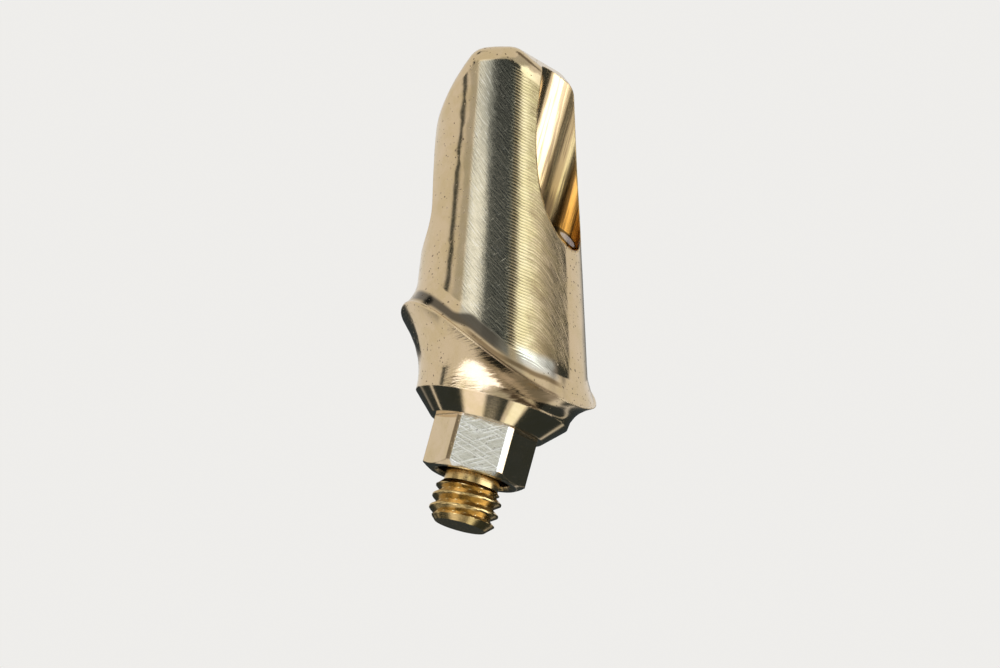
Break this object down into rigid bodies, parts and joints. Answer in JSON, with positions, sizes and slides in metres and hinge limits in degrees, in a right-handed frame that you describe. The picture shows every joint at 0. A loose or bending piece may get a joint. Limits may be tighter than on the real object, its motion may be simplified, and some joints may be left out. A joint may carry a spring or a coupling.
{
  "type": "dental abutment",
  "caption": "Angled dental abutment with a scalloped margin, an internal-hex connection, an open access channel and its retaining screw.",
  "frame": {"origin": "centre of the flat shoulder that seats on the implant, on the implant's axis", "axes": "+Z along the implant axis out of the implant, +X the side where the access channel opens; the post leans towards -X"},
  "size_m": [0.0067, 0.0056, 0.014],
  "materials": {
    "abutment_metal": "polished warm gold nitride on titanium, with machining marks and small pits",
    "screw_metal": "bright deeper gold nitride on titanium"
  },
  "bodies": {
    "abutment": {"abutment": "abutment_metal"},
    "abutment_screw": {"abutment_screw": "screw_metal"}
  },
  "joints": [
    {"name": "screw_turn", "type": "hinge", "parent": "abutment", "child": "abutment_screw", "pos_m": [0, 0, 0], "axis": [0, 0, 1], "continuous": true}
  ]
}
